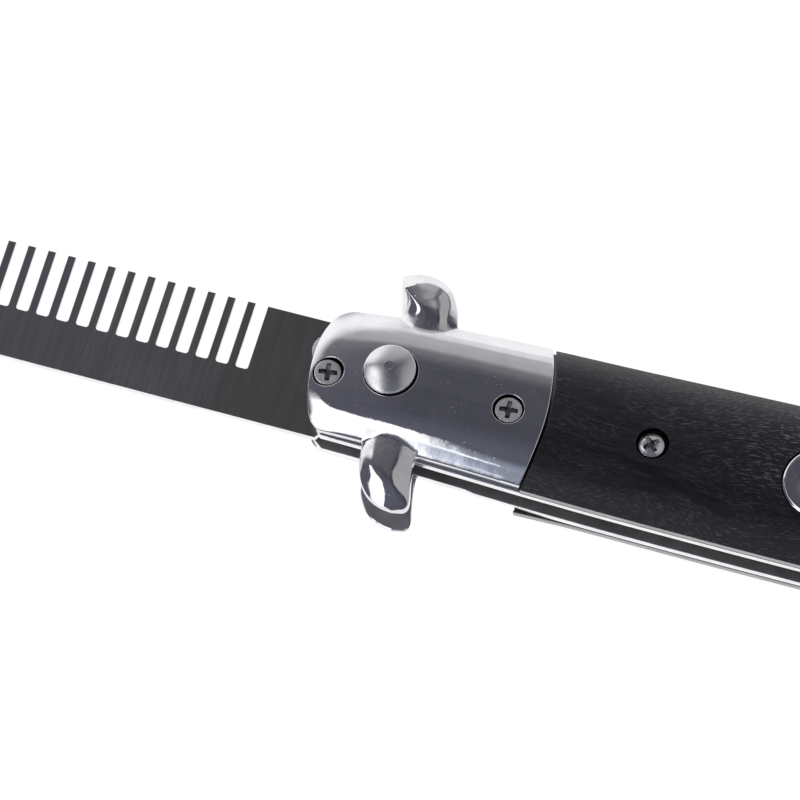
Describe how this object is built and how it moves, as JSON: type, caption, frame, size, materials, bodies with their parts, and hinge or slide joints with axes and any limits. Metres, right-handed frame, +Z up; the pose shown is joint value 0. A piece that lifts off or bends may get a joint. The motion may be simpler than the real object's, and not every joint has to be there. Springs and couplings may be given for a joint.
{
  "type": "folding comb",
  "caption": "Spring-opening folding comb: flat steel comb that pivots out of a slim handle with chrome bolsters, curved quillons, black wood scales, a push button and cross-head screws.",
  "frame": {"origin": "middle of the underside of the open comb lying on its far side", "axes": "+X from the comb's tip to the handle's tail, +Y towards the teeth and the back of the handle, +Z up out of the near side with the button"},
  "size_m": [0.212, 0.0312, 0.0139],
  "materials": {
    "comb_steel": "dark, finely brushed along the teeth, bright edges",
    "liner_steel": "bright satin edges, darker inner faces",
    "chrome": "mirror polished, lightly speckled with wear",
    "screw_steel": "satin, softly rounded heads with a pressed cross",
    "black_wood": "near-black dyed wood, satin, with fine short lighter grain flecks"
  },
  "bodies": {
    "handle": {"liner_near": "liner_steel", "liner_far": "liner_steel", "back_spacer": "liner_steel", "tail_spacer": "liner_steel", "front_bolster_near": "chrome", "front_bolster_far": "chrome", "scale_near": "black_wood", "scale_far": "black_wood", "rear_bolster_near": "chrome", "rear_bolster_far": "chrome", "pivot_pin": "screw_steel", "pivot_screw_near": "screw_steel", "pivot_screw_far": "screw_steel", "bolster_screw_near": "screw_steel", "bolster_screw_far": "screw_steel", "scale_screw_near": "screw_steel", "scale_screw_far": "screw_steel", "rear_scale_screw_near": "screw_steel", "rear_scale_screw_far": "screw_steel", "escutcheon": "chrome", "escutcheon_screw": "screw_steel"},
    "comb": {"comb_blade": "comb_steel"},
    "button": {"push_button": "chrome"}
  },
  "joints": [
    {"name": "comb_fold", "type": "hinge", "parent": "handle", "child": "comb", "pos_m": [-0.00999, -0.00062, 0.00695], "axis": [0, 0, 1], "range_deg": [0, 180]},
    {"name": "button_press", "type": "slide", "parent": "handle", "child": "button", "axis": [0, 0, -1], "range_m": [0, 0.001], "stiffness_N_per_m": 600, "springref_m": -0.0005}
  ]
}
